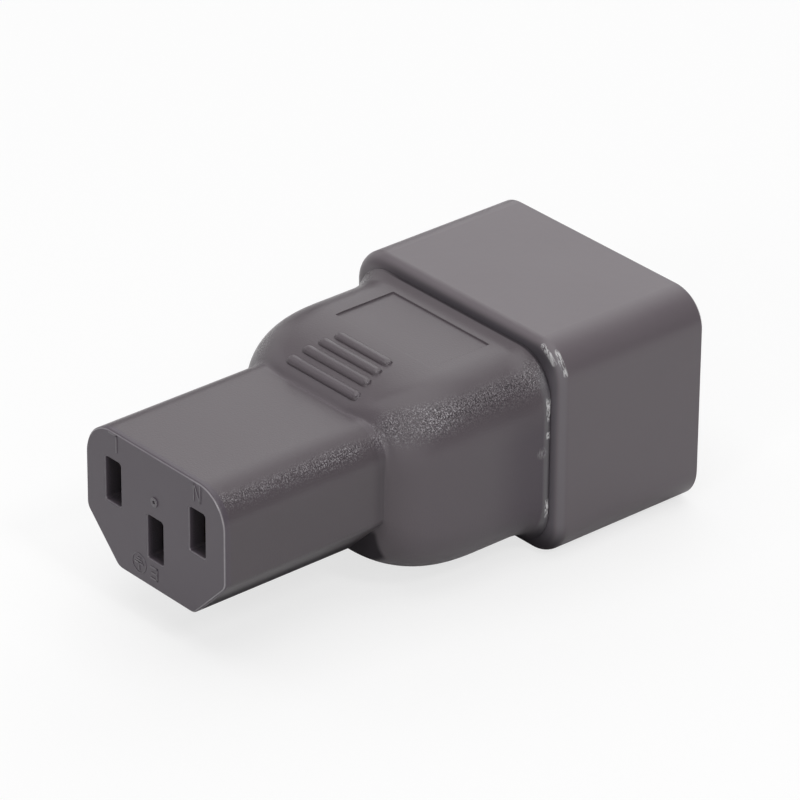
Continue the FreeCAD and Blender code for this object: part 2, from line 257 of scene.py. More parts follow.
def paintedGlintColour(spot, colour, edges):
    spec = paintedGlints
    across, along = spot.axes()[:2]
    tooth = spot.grain(spec["size"], detail=1.0)
    bySeam = along.rise(*spec["seamAlong"])
    byCrease = along.fall(*noseEnd) * along.rise(*spec["creaseAlong"])
    glintZone = spec["least"] + spec["gripMore"] * along.rise(*spec["gripAlong"])
    for stretch in spec["bands"]:
        glintZone = glintZone + spec["bandMore"] * along.band(*stretch)
    glintZone = glintZone * edges * across.rise(*spec["right"])
    glintZone = glintZone * bySeam.lessen(spec["seamFade"]) * byCrease.lessen(spec["creaseFade"])
    # painted dark pits and pale glints stand in for the texture's sparkle
    pits = tooth.fall(*spec["pits"]) * glintZone
    tips = tooth.rise(*spec["tips"]) * glintZone * along.rise(*spec["tipAlong"]).lessen(spec["tipFade"])
    return tips.tint(pits.tint(colour, spec["pitColour"]), spec["tipColour"])


seamWearAndPaintedLight = {                # on the right side: a real torn edge, with a painted highlight and painted shade beside it; steps along are counted from the seam
    "right": (13.5, 15.0),
    "stripAlong": (-1.15, -0.69),       # painted highlight: paler strip on the flared lip
    "stripUp": (-9.5, -7.8),
    "stripLeast": 0.5,
    "stripPatch": 1.2,
    "stripColour": (0.135, 0.125, 0.136, 1),
    "paintedShadeAlong": (-0.45, -0.315),      # painted shade: dark line between strip and shroud
    "paintedShadeColour": (0.085, 0.077, 0.087, 1),
    "tornAlong": (-0.70, -0.56),        # torn edge
    "tornRight": (0, 1),
    "tornColour": (0.80, 0.79, 0.80, 1),
    "tears": [(5.9, 1.6), (2.8, 0.5), (-6.1, 1.3)],     # middle and half span of each torn place
    "tearCore": 0.5,        # share of the half span that is fully torn
    "threadSize": 0.20, "threadDetail": 2.0, "threadRoughness": 0.6,
    "threadStretch": (1.3, 1.3, 0.3),
    "threads": (0.40, 0.58),
    "nickShare": 0.22, "nickReach": 0.9,
    "nickAt": (15.7, 39.85, 0.9),       # as place() takes it
}


# painted highlight on the strip and painted shade on the line by the seam
def seamColour(spot, colour):
    spec = seamWearAndPaintedLight
    across, along, up = spot.axes()
    past = along - seam
    right = across.rise(*spec["right"])
    strip = past.rise(*spec["stripAlong"]) * right * up.rise(*spec["stripUp"])
    strip = strip * (spec["stripLeast"] + spot.grain(spec["stripPatch"]))
    paintedShade = past.rise(*spec["paintedShadeAlong"]) * right
    return paintedShade.tint(strip.tint(colour, spec["stripColour"]), spec["paintedShadeColour"])


def tornPlaces(spot):
    spec = seamWearAndPaintedLight
    across, along, up = spot.axes()
    torn = 0.0
    for middle, half in spec["tears"]:
        torn = torn + abs(up - middle).fall(spec["tearCore"] * half, half)
    torn = torn * (along - seam).rise(*spec["tornAlong"]) * across.rise(*spec["tornRight"])
    torn = torn + spec["nickShare"] * spot.nearness(spec["nickAt"], spec["nickReach"])
    threads = spot.grain(spec["threadSize"], spec["threadDetail"], spec["threadRoughness"],
                         spec["threadStretch"])
    return torn * threads.rise(*spec["threads"])


# Painted shade on the grip: under the nose, on its underside, in the low corner by the shroud, in the
# crease and along the top of the seam
gripPaintedShade = {
    "nook": 0.85,           # on the shoulder, under the nose
    "nookAlong": (22.3, 23.0), "nookAcross": (10.0, 10.7), "nookUp": (-4.8, -3.7),
    "belly": 0.68,          # underside of the nose
    "bellyUp": (-6.8, -4.0),
    "corner": 0.85,         # low corner by the shroud
    "cornerAlong": (38.0, 40.6), "cornerUp": (-10.5, -7.5),
    "crease": 0.17,         # where the nose's sides meet the shoulder
    "creaseAlong": (19.6, 20.9, 21.3, 21.9), "creaseAcross": (10.0, 11.0), "creaseUp": (4, 7),
    "line": 0.85,           # along the top of the seam
    "lineAlong": (-0.30, -0.12),        # counted from the seam
    "lineAcross": (-13, -8), "lineUp": (7.0, 9.0),
}


def filmOnGrip(spot):
    spec = gripPaintedShade
    across, along, up = spot.axes()
    beside = abs(across)
    onNose = along.fall(*noseEnd)
    nook = (1 - onNose) * along.fall(*spec["nookAlong"])
    nook = nook * beside.fall(*spec["nookAcross"]) * up.fall(*spec["nookUp"])
    belly = onNose * up.fall(*spec["bellyUp"])
    corner = along.rise(*spec["cornerAlong"]) * up.fall(*spec["cornerUp"])
    crease = along.band(*spec["creaseAlong"]) * beside.rise(*spec["creaseAcross"])
    crease = crease * up.fall(*spec["creaseUp"])
    line = (along - seam).rise(*spec["lineAlong"]) * across.rise(*spec["lineAcross"])
    line = line * up.rise(*spec["lineUp"])
    low = spec["nook"] * nook + spec["belly"] * belly + spec["corner"] * corner
    return low + spec["crease"] * crease + spec["line"] * line


texturedGrey = {
    "dark": (0.098, 0.082, 0.093, 1),
    "light": (0.114, 0.097, 0.107, 1),
    "cloudSize": 7.0,
    "cloudRoughness": 0.10,
    "sparkSize": 0.19,      # spots of the eroded tool's texture
    "sparkShare": 0.3,
    "sparkDepth": 0.11,
    "sparkRoughness": 0.08,
    "flatShare": 0.15,      # how much of the depth the flat faces show
    "roughness": 0.34,
    "edgeRoughness": 0.26,
    "tornRelief": 0.6,
}


def texturedPlastic():
    spec = texturedGrey
    material, spot = startFinish("texturedPlastic")
    spark = spot.grain(spec["sparkSize"], detail=1.0)
    cloud = spot.grain(spec["cloudSize"])
    edges = spot.node("ShaderNodeAttribute", {"attribute_name": "roundShare"}, output="Fac")
    torn = tornPlaces(spot)
    colour = cloud.blend(spark, spec["sparkShare"]).tint(spec["dark"], spec["light"])
    colour = paintedGlintColour(spot, paintedGripLightAndShadeColour(spot, colour), edges)
    colour = torn.tint(seamColour(spot, colour), seamWearAndPaintedLight["tornColour"])
    rough = spec["roughness"] + (spec["edgeRoughness"] - spec["roughness"]) * edges * edges
    rough = rough + cloud.vary(spec["cloudRoughness"]) + spark.vary(spec["sparkRoughness"])
    bumps = spark * edges.atLeast(spec["flatShare"]) + spec["tornRelief"] * torn
    # painted shade film over the grip's shaded places
    film = filmOnGrip(spot)
    return endFinish(material, spot, colour, rough, bumps.relief(spec["sparkDepth"]), film=film)


shroudPaintedLightAndShade = {              # painted shade and painted highlight on the shroud's front; steps along are counted from the seam
    "paintedShadeColour": (0.095, 0.084, 0.097, 1),
    "paintedShadeAlong": (0.18, 0.55), "paintedShadeAcross": (-18, 2),
    "paintedHighlightColour": (0.164, 0.148, 0.163, 1),      # painted highlight on the front edge
    "paintedHighlightAlong": (0.35, 0.70, 1.0, 1.5), "paintedHighlightAcross": (14.0, 16.0),
    # painted shade films: on the front beside the grip's top, and low on the front
    "topFilm": 0.55,
    "topAlong": (0.1, 0.9), "topAcross": (-15, -9), "topUp": (9.0, 11.5),
    "lowFilm": 0.85,
    "lowAlong": (0.7, 2.2), "lowUp": (-11.5, -8.0),
}
# Scratches on the shroud's front corner, painted pale as a highlight
scuffsAndSheen = {
    "colour": (0.60, 0.59, 0.60, 1),
    "reach": 0.38,
    "step": 0.25,           # share of a leg from one spot to the next
    "relief": 3.0,
    "scratchSize": 0.22, "scratchDetail": 2.0, "scratchRoughness": 0.6,
    "scratchStretch": (1.3, 1.3, 0.22),
    "scratchTurn": (0, -0.685, 0),      # lays the scratches along the streaks
    "scratches": (0.38, 0.62),
    "streaks": [[(13.52, 41.62, 12.30), (14.62, 41.50, 11.71), (15.44, 41.49, 10.98)],
                [(14.99, 42.29, 11.96), (15.81, 42.14, 11.15), (16.54, 42.23, 9.86)]],
}


def scuffAndSheenPlaces(spot):
    # two streaks on the front corner, in two legs each: real scratches with a painted highlight along them
    spec = scuffsAndSheen
    scuffedAndSheen = 0.0
    for streak in spec["streaks"]:
        for start, end in zip(streak, streak[1:]):
            for share in evenly(0, 1, spec["step"]):
                scuffedAndSheen = scuffedAndSheen + spot.nearness(Vector(start).lerp(Vector(end), share), spec["reach"])
    scratches = spot.grain(spec["scratchSize"], spec["scratchDetail"], spec["scratchRoughness"],
                           spec["scratchStretch"], spec["scratchTurn"])
    return scuffedAndSheen * scratches.rise(*spec["scratches"])


smoothGrey = {
    "dark": (0.137, 0.117, 0.131, 1),
    "light": (0.153, 0.132, 0.145, 1),
    "cloudSize": 9.0, "cloudDetail": 3.0, "cloudRoughness": 0.12,
    "peelSize": 1.6,        # faint unevenness of a polished mould
    "peelDepth": 0.012,
    "dustSize": 0.12, "dustShare": 0.2, "dustRelief": 0.1, "dustRoughness": 0.05,
    "roughness": 0.36,
    "paintedShadeRoughness": 0.2,
}


def smoothPlastic():
    spec = smoothGrey
    front = shroudPaintedLightAndShade
    material, spot = startFinish("smoothPlastic")
    cloud = spot.grain(spec["cloudSize"], spec["cloudDetail"])
    peel = spot.grain(spec["peelSize"])
    dust = spot.grain(spec["dustSize"], detail=1.0)
    across, along, up = spot.axes()
    past = along - seam
    # painted shade by the grip, painted highlight on the front edge, painted shade films above and below
    paintedShade = past.fall(*front["paintedShadeAlong"]) * across.rise(*front["paintedShadeAcross"])
    paintedHighlight = past.band(*front["paintedHighlightAlong"]) * abs(across).rise(*front["paintedHighlightAcross"])
    above = past.fall(*front["topAlong"]) * across.rise(*front["topAcross"]) * up.rise(*front["topUp"])
    below = past.fall(*front["lowAlong"]) * up.fall(*front["lowUp"])
    scuffedAndSheen = scuffAndSheenPlaces(spot)
    colour = cloud.blend(dust, spec["dustShare"]).tint(spec["dark"], spec["light"])
    colour = paintedShade.tint(paintedHighlight.tint(colour, front["paintedHighlightColour"]), front["paintedShadeColour"])
    colour = scuffedAndSheen.tint(colour, scuffsAndSheen["colour"])
    rough = spec["roughness"] + cloud.vary(spec["cloudRoughness"]) + dust.vary(spec["dustRoughness"])
    rough = rough + spec["paintedShadeRoughness"] * paintedShade
    bumps = peel + spec["dustRelief"] * dust + scuffsAndSheen["relief"] * scuffedAndSheen
    film = front["topFilm"] * above + front["lowFilm"] * below
    return endFinish(material, spot, colour, rough, bumps.relief(spec["peelDepth"]), film=film)


faceGrey = {
    "dark": (0.094, 0.078, 0.096, 1),
    "light": (0.107, 0.090, 0.108, 1),
    "cloudSize": 5.0, "cloudDetail": 3.0, "cloudRoughness": 0.10,
    "dustSize": 0.15, "dustShare": 0.3, "dustRelief": 0.15,
    "slotsAcross": (8.6, 9.4), "slotsUp": (4.7, 5.2),       # the slots lie inside these
    "cavity": (0.050, 0.044, 0.052, 1),     # painted shade on the walls inside the slots
    "cavityDepth": (0.15, 0.9),
    "raised": (0.155, 0.140, 0.156, 1),     # painted highlight on the tops of the marks and of the gate ring
    "raisedDepth": (-0.07, -0.03),
    "edge": (0.40, 0.38, 0.40, 1),          # painted highlight on the rims of the face and of its slots
    "edgeDepth": (0.0, 0.04, 0.10, 0.16),
    "edgePatch": 0.8, "edgeLeast": 0.55, "edgeRight": (4, 10), "edgeRoughness": 0.08,
    "slotFade": 0.35,
    "sparkDepth": (0.2, 0.35), "sparkRelief": 1.5,      # the core's sides match the skin
    "roughness": 0.38,
    "relief": 0.02,
}


def facePlastic():
    spec = faceGrey
    material, spot = startFinish("facePlastic")
    cloud = spot.grain(spec["cloudSize"], spec["cloudDetail"])
    dust = spot.grain(spec["dustSize"], detail=1.0)
    across, depth, up = spot.axes()
    slots = abs(across).fall(*spec["slotsAcross"]) * abs(up).fall(*spec["slotsUp"])
    inner = depth.rise(*spec["cavityDepth"]) * slots
    raised = depth.fall(*spec["raisedDepth"])
    # painted highlight along the rims, brighter on the right
    rim = depth.band(*spec["edgeDepth"]) * spot.grain(spec["edgePatch"]).atLeast(spec["edgeLeast"])
    rim = rim * across.rise(*spec["edgeRight"]).atLeast(spec["edgeLeast"]) * slots.lessen(spec["slotFade"])
    spark = spot.grain(texturedGrey["sparkSize"], detail=1.0) * depth.rise(*spec["sparkDepth"])
    colour = cloud.blend(dust, spec["dustShare"]).tint(spec["dark"], spec["light"])
    # painted shade inside the slots, painted highlight on the raised tops
    colour = raised.tint(inner.tint(colour, spec["cavity"]), spec["raised"])
    colour = rim.tint(colour, spec["edge"])
    rough = spec["roughness"] + cloud.vary(spec["cloudRoughness"]) - spec["edgeRoughness"] * rim
    bumps = cloud + spec["dustRelief"] * dust + spec["sparkRelief"] * spark
    return endFinish(material, spot, colour, rough, bumps.relief(spec["relief"]))


flashGrey = {
    "dark": (0.20, 0.19, 0.20, 1),
    "light": (0.75, 0.74, 0.75, 1),
    "tearSize": 0.35, "tearDetail": 3.0, "tearRoughness": 0.7, "tearDepth": 0.06,
    "pale": (0.30, 0.52),
    "roughness": 0.30, "paleRoughness": 0.25,
}


def flashPlastic():
    spec = flashGrey
    material, spot = startFinish("flashPlastic")
    torn = spot.grain(spec["tearSize"], spec["tearDetail"], spec["tearRoughness"])
    colour = torn.rise(*spec["pale"]).tint(spec["dark"], spec["light"])
    rough = spec["roughness"] + spec["paleRoughness"] * torn
    return endFinish(material, spot, colour, rough, torn.relief(spec["tearDepth"]))


metals = {                  # drawn along the blades and strips, with tarnish over it
    "nickelPlate": {
        "dark": (0.55, 0.53, 0.49, 1), "light": (0.72, 0.70, 0.65, 1), "roughness": 0.24,
        "drawnSize": 0.25, "drawnStretch": (1, 0.04, 1), "drawnDepth": 0.004, "drawnRoughness": 0.14,
        "cloudSize": 4.0, "cloudDetail": 2.0, "cloudShare": 0.5, "cloudRoughness": 0.08,
    },
    "brassStrip": {
        "dark": (0.50, 0.34, 0.14, 1), "light": (0.74, 0.56, 0.29, 1), "roughness": 0.30,
        "drawnSize": 0.20, "drawnStretch": (1, 0.06, 1), "drawnDepth": 0.003, "drawnRoughness": 0.15,
        "cloudSize": 2.5, "cloudDetail": 4.0, "cloudShare": 0.7, "cloudRoughness": 0.15,
    },
}


def drawnMetal(name):
    spec = metals[name]
    material, spot = startFinish(name)
    drawn = spot.grain(spec["drawnSize"], detail=3.0, roughness=0.6, stretch=spec["drawnStretch"])
    cloud = spot.grain(spec["cloudSize"], spec["cloudDetail"])
    colour = drawn.blend(cloud, spec["cloudShare"]).tint(spec["dark"], spec["light"])
    rough = spec["roughness"] + drawn.vary(spec["drawnRoughness"]) + cloud.vary(spec["cloudRoughness"])
    return endFinish(material, spot, colour, rough, drawn.relief(spec["drawnDepth"]), metallic=1.0)


# Pieces: one helper starts a primitive alone in the selection, one closes a finished piece
def startPiece(name, addPrimitive, **size):
    bpy.ops.object.select_all(action="DESELECT")
    addPrimitive(**size)
    piece = bpy.context.object
    piece.name = name
    piece.data.name = name
    return piece


def endPiece(piece, finish, smoothAngle):
    bpy.ops.object.select_all(action="DESELECT")
    piece.select_set(True)
    bpy.context.view_layer.objects.active = piece
    bpy.ops.object.transform_apply(location=True, rotation=True, scale=True)
    bpy.ops.object.shade_smooth_by_angle(angle=math.radians(smoothAngle))
    piece.data.materials.clear()
    piece.data.materials.append(finish)
    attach(piece, "root")
    print("piece:", piece.name, len(piece.data.polygons), "faces")
    return piece


# Outer moulding: nose skin, swept shoulder, grip, thumb ribs and the shallow panel, in one wrapped grid
overmould = {
    "noseTopRadius": 4.2, "noseChamfer": 5.3, "noseChamferRadius": 1.5, "noseLength": 20.8,
    "gripRadius": 6.6, "shoulderLength": 11.95, "sideDrop": 7.6, "topDrop": 4.75, "fullness": 2.4,
    "creaseSoftness": 0.4, "leastFlat": 0.1,
    "skin": 1.4, "boreEnd": 20.5,
    "pocketWidth": 26.0, "pocketHeight": 17.0, "pocketRadius": 3.0, "pocketDepth": 4.5,
    "ribCount": 4, "ribFirst": 2.0, "ribPitch": 1.82, "ribWidth": 1.25, "ribHeight": 0.45,
    "ribLength": 11.5, "ribShortening": 0.93,
    "panelWidth": 15.6, "panelLength": 8.1, "panelDepth": 0.20, "panelSetback": 1.9, "wallSoftness": 0.08,
    "flareLength": 1.6, "flareRadius": 4.8, "squaringLength": 3.4,
    "edgeRound": 0.15, "sideRound": 0.25,
    "sideTurns": (1.0, 1.3, 1.85, 2.15),        # radians from the top, a band on each side
    "lipWidth": 1.2, "lipHeight": 0.03, "lipLeast": 0.7, "lipRagged": 0.6, "lipWaves": 9, "lipSlice": 3.0,
    "topSlope": 0.3,        # directions steeper than this meet the ribs and the panel
    "weld": 1e-7, "smoothAngle": 38,
}
wrap = {        # how close the grid's lines lie: mm along, radians round, degrees up the shoulder
    "columnStep": 0.42, "roundStep": 0.065,
    "ribEnds": (0.36, 0.64, 0.0095),
    "chamferMargin": 0.07, "chamferStep": 0.009,
    "noseStep": 1.3, "footTurns": (5, 30, 0.8), "topTurns": (30, 90, 2),
    "ribStep": 0.13, "ribFoot": 1.05,
    "gripStep": 0.7, "squaringStep": 0.2, "flareStep": 0.08, "edgeStep": math.pi / 18,
    "wallMargin": 0.12, "wallStep": 0.03,
    "leastStep": 0.012,
}
rounds = {      # parts of a normal that a rounded edge has where its texture shines
    "turned": (0.0, 0.28), "sideways": (0.25, 0.45), "upward": (0.28, 0.55), "level": (0.76, 0.90),
}


def roundedReach(corners, direction):
    # distance from the axis to a convex outline; corners hold (x, z, radius), anticlockwise
    reach = math.inf
    bends = []
    for index, (x, z, radius) in enumerate(corners):
        here = Vector((x, z))
        back = (Vector(corners[index - 1][:2]) - here).normalized()
        ahead = (Vector(corners[(index + 1) % len(corners)][:2]) - here).normalized()
        outward = Vector((ahead.y, -ahead.x))
        before = Vector((-back.y, back.x))
        if outward.dot(direction) > 1e-9:
            reach = min(reach, outward.dot(here) / outward.dot(direction))
        half = back.angle(ahead) / 2
        centre = here + (back + ahead).normalized() * (radius / math.sin(half))
        bends.append((centre, radius, before, outward))
    for centre, radius, before, outward in bends:
        along = direction.dot(centre)
        room = along * along - centre.length_squared + radius * radius
        if radius > 0 and room > 0:
            arm = direction * (along + math.sqrt(room)) - centre
            if before.cross(arm) >= 0 and arm.cross(outward) >= 0:
                reach = along + math.sqrt(room)
    return reach


def rectangleCorners(halfWidth, halfHeight, radius):
    return [(x * halfWidth, z * halfHeight, radius) for x, z in ((1, -1), (1, 1), (-1, 1), (-1, -1))]


def noseCorners(inset):
    spec = overmould
    wide = noseHalf[0] - inset
    tall = noseHalf[1] - inset
    cut = spec["noseChamfer"] - inset * (2 - math.sqrt(2))
    top = spec["noseTopRadius"] - inset
    low = max(spec["noseChamferRadius"] - inset, spec["leastFlat"])
    right = [(wide - cut, -tall, low), (wide, cut - tall, low), (wide, tall, top)]
    return right + [(-x, z, radius) for x, z, radius in right[::-1]]


def dropLeft(station):
    # share of the shoulder's drop that is still to rise
    spec = overmould
    share = min(max(1 - (station - spec["noseLength"]) / spec["shoulderLength"], 0), 1)
    turn = math.acos(share ** (spec["fullness"] / 2))
    return 1 - math.sin(turn) ** (2 / spec["fullness"])


def shoulderStation(turn):
    spec = overmould
    share = 1 - math.cos(math.radians(turn)) ** (2 / spec["fullness"])
    return spec["noseLength"] + spec["shoulderLength"] * share


def topHeight(station):
    return gripHalf[1] - overmould["topDrop"] * dropLeft(station)


def gripCorners(station):
    # rounded rectangle of the shoulder, the grip and its flare
    spec = overmould
    drop = dropLeft(station)
    spread = max(1 - (seam - station) / spec["flareLength"], 0) ** 2
    squared = max(1 - (seam - station) / spec["squaringLength"], 0) ** 2
    wide = gripHalf[0] - spec["sideDrop"] * drop
    tall = gripHalf[1] - spec["topDrop"] * drop + flareRise * spread
    bend = spec["gripRadius"] + (spec["flareRadius"] - spec["gripRadius"]) * squared
    return rectangleCorners(wide, tall, min(bend, tall - spec["leastFlat"]))


def ribPlaces():
    # centre station, half length of the straight part, slope of the shoulder
    spec = overmould
    near = 0.01
    found = []
    for index in range(spec["ribCount"]):
        station = spec["noseLength"] + spec["ribFirst"] + index * spec["ribPitch"]
        length = spec["ribLength"] - index * spec["ribShortening"]
        slope = math.atan2(topHeight(station + near) - topHeight(station - near), 2 * near)
        found.append((station, (length - spec["ribWidth"]) / 2, slope))
    return found


def softMax(first, second, softness):
    share = min(max(0.5 + 0.5 * (first - second) / softness, 0), 1)
    return second + (first - second) * share + softness * share * (1 - share)


def wayAt(turn):
    return math.sin(turn), math.cos(turn)


def aroundWall(wall):
    return evenly(wall - wrap["wallMargin"], wall + wrap["wallMargin"], wrap["wallStep"])


def wrapColumns():
    # angles round the axis from the top, closer together where an outline turns
    radius = overmould["gripRadius"]
    step = wrap["columnStep"]
    wide, tall = gripHalf
    quarter = [(radius * x, radius * z) for x, z in map(wayAt, evenly(0, math.pi / 2, wrap["roundStep"]))]
    walk = [(x, tall) for x in evenly(0, wide - radius, step)]
    walk += [(wide - radius + x, tall - radius + z) for x, z in quarter]
    walk += [(wide, z) for z in evenly(tall - radius, radius - tall, step)]
    walk += [(wide - radius + x, radius - tall - z) for x, z in quarter[::-1]]
    walk += [(x, -tall) for x in evenly(wide - radius, 0, step)]
    walk += [(x, tall) for x in aroundWall(overmould["panelWidth"] / 2)]
    walk += map(wayAt, evenly(*wrap["ribEnds"]))
    for x, z, bend in noseCorners(0)[:2]:
        middle = math.atan2(x, z)
        ends = (middle - wrap["chamferMargin"], middle + wrap["chamferMargin"])
        walk += map(wayAt, evenly(*ends, wrap["chamferStep"]))
    turns = sorted({round(math.atan2(x, z), 4) for x, z in walk})
    return [-turn for turn in turns[:0:-1]] + turns


def wrapRows():
    # (part of the surface, station), from the end of the core's bore, out over the skin, to the pocket
    spec = overmould
    panelRear = seam - spec["panelSetback"]
    squaring = seam - spec["squaringLength"]
    flareStart = seam - spec["flareLength"]
    stations = evenly(noseFront, spec["noseLength"], wrap["noseStep"])
    for turns in (wrap["footTurns"], wrap["topTurns"]):
        stations += [shoulderStation(turn) for turn in evenly(*turns)]
    run = [math.sin(turn) for turn in evenly(-math.pi / 2, math.pi / 2, wrap["ribStep"])]
    run += [-wrap["ribFoot"], wrap["ribFoot"]]
    for station, half, slope in ribPlaces():
        stations += [station + spec["ribWidth"] / 2 * math.cos(slope) * share for share in run]
    stations += evenly(spec["noseLength"] + spec["shoulderLength"], squaring, wrap["gripStep"])
    stations += evenly(squaring, flareStart, wrap["squaringStep"])
    for wall in (panelRear - spec["panelLength"], panelRear):
        stations += aroundWall(wall)
    stations += evenly(flareStart, seam - spec["sideRound"], wrap["flareStep"])
    bendTurns = evenly(0, math.pi / 2, wrap["edgeStep"])
    for bend in (spec["sideRound"], spec["edgeRound"]):
        stations += [seam - bend * (1 - math.sin(turn)) for turn in bendTurns]
    kept = []
    for station in sorted(stations):
        if not kept or station - kept[-1] > wrap["leastStep"]:
            kept.append(station)
    kept[-1] = seam
    rows = [("bore", spec["boreEnd"]), ("bore", noseFront)]
    rows += [("nose" if station <= spec["noseLength"] else "grip", station) for station in kept]
    rows += [("pocket", seam), ("pocket", seam - spec["pocketDepth"])]
    return rows


def ribRelief(across, station, ribs):
    # how far a point of the shoulder's top is pushed along (and up) by the ribs
    spec = overmould
    for middle, half, slope in ribs:
        rise = topHeight(station) - topHeight(middle)
        run = (station - middle) * math.cos(slope) + rise * math.sin(slope)
        away = math.hypot(max(abs(across) - half, 0), run) / (spec["ribWidth"] / 2)
        if away < 1:
            height = spec["ribHeight"] * math.sqrt(1 - away * away)
            return -height * math.sin(slope), height * math.cos(slope)
    return 0.0, 0.0


def panelRelief(across, station):
    spec = overmould
    soft = spec["wallSoftness"] / 2
    edge = spec["panelWidth"] / 2
    ends = spec["panelLength"] / 2
    middle = seam - spec["panelSetback"] - ends
    sides = 1 - smoothStep(edge - soft, edge + soft, abs(across))
    ahead = 1 - smoothStep(ends - soft, ends + soft, abs(station - middle))
    return -spec["panelDepth"] * sides * ahead


def seamReach(station, turn):
    # rounded rear edge, wider at the sides, and the small lip that the moulding leaves there
    spec = overmould
    start, full, fade, end = spec["sideTurns"]
    beside = smoothStep(start, full, abs(turn)) * (1 - smoothStep(fade, end, abs(turn)))
    tatter = ragged.noise(Vector((turn * spec["lipWaves"], spec["lipSlice"], 0)))
    lip = spec["lipHeight"] * smoothStep(seam - spec["lipWidth"], seam - spec["lipWidth"] / 2, station)
    lip *= beside * (spec["lipLeast"] + spec["lipRagged"] * tatter)
    bend = spec["edgeRound"] + (spec["sideRound"] - spec["edgeRound"]) * beside
    over = max(station - (seam - bend), 0)
    return lip - bend + math.sqrt(max(bend ** 2 - over ** 2, 0))


def gripPoint(station, turn, corners, noseReach, ribs):
    spec = overmould
    way = Vector(wayAt(turn))
    reach = softMax(noseReach, roundedReach(corners, way), spec["creaseSoftness"])
    reach += seamReach(station, turn)
    across = way.x * reach
    forward = 0.0
    lift = 0.0
    if way.y > spec["topSlope"]:
        forward, lift = ribRelief(across, station, ribs)
        lift += panelRelief(across, station)
    return place(across, station + forward, way.y * reach + lift)


def closeGrid():
    # joins the wrapped grid's edges, fills its two open ends and turns its faces outward
    bpy.ops.object.mode_set(mode="EDIT")
    bpy.ops.mesh.select_all(action="SELECT")
    bpy.ops.mesh.remove_doubles(threshold=overmould["weld"])
    bpy.ops.mesh.select_all(action="DESELECT")
    bpy.ops.mesh.select_mode(type="EDGE")
    bpy.ops.mesh.select_non_manifold(extend=False)
    bpy.ops.mesh.edge_face_add()
    bpy.ops.mesh.select_all(action="SELECT")
    bpy.ops.mesh.normals_make_consistent(inside=False)
    bpy.ops.object.mode_set(mode="OBJECT")


def markRounds(piece):
    # roundShare is 1 on the rounded upper edges, and 0 on flat faces
    spec = rounds
    share = piece.data.attributes.new("roundShare", "FLOAT", "POINT")
    for index, vertex in enumerate(piece.data.vertices):
        normal = vertex.normal
        turned = smoothStep(*spec["turned"], 1 - max(abs(part) for part in normal))
        sideways = smoothStep(*spec["sideways"], abs(normal.x))
        upward = smoothStep(*spec["upward"], normal.z) * (1 - smoothStep(*spec["level"], normal.z))
        share.data[index].value = turned * sideways * upward


def makeOvermould(finish):
    spec = overmould
    turns = wrapColumns()
    rows = wrapRows()
    ribs = ribPlaces()
    outlines = {
        "bore": noseCorners(spec["skin"]), "nose": noseCorners(0),
        "pocket": rectangleCorners(spec["pocketWidth"] / 2, spec["pocketHeight"] / 2, spec["pocketRadius"]),
    }
    ways = [Vector(wayAt(turn)) for turn in turns]
    reaches = {part: [roundedReach(corners, way) for way in ways] for part, corners in outlines.items()}
    corners = [gripCorners(station) for part, station in rows]
    acrossCount = len(turns) - 1
    alongCount = len(rows) - 1
    piece = startPiece("overmould", bpy.ops.mesh.primitive_grid_add,
                       x_subdivisions=acrossCount, y_subdivisions=alongCount, size=1, calc_uvs=False)
    for vertex in piece.data.vertices:
        column = round((vertex.co.x + 0.5) * acrossCount)
        row = round((vertex.co.y + 0.5) * alongCount)
        part, station = rows[row]
        if part == "grip":
            vertex.co = gripPoint(station, turns[column], corners[row], reaches["nose"][column], ribs)
        else:
            reach = reaches[part][column]
            vertex.co = place(ways[column].x * reach, station, ways[column].y * reach)
    closeGrid()
    markRounds(piece)
    endPiece(piece, finish, spec["smoothAngle"])
    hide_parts("grip_overmold")
    return piece


# Terminal marks: raised strokes on the outlet face, upside down as the part lies here
marks = {
    "strokeWidth": 0.20, "strokeRise": 0.07, "strokeBevel": 0.03, "bevelSteps": 2,
    "ringRadius": 1.12, "ringSteps": 64, "ringSides": 12, "smoothAngle": 40,
    "signs": {      # the middle of each, and its strokes from one place beside it to another
        "line": ((-6.80, 6.80), [(-0.55, 0.95, -0.55, -0.95), (-0.55, -0.95, 0.65, -0.95)]),
        "neutral": ((7.12, 6.72), [(-0.52, -0.95, -0.52, 0.95), (0.52, -0.95, 0.52, 0.95),
                                   (-0.52, 0.95, 0.52, -0.95)]),
        "earth": ((-0.20, -6.07), [(-0.52, -0.66, -0.52, 0.66), (-0.52, 0.66, 0.50, 0.66),
                                   (-0.52, 0, 0.35, 0), (-0.52, -0.66, 0.50, -0.66)]),
        "ground": ((-2.70, -5.86), [(0, 0.80, 0, 0), (-0.62, 0, 0.62, 0),
                                    (-0.40, -0.30, 0.40, -0.30), (-0.18, -0.60, 0.18, -0.60)]),
    },
}


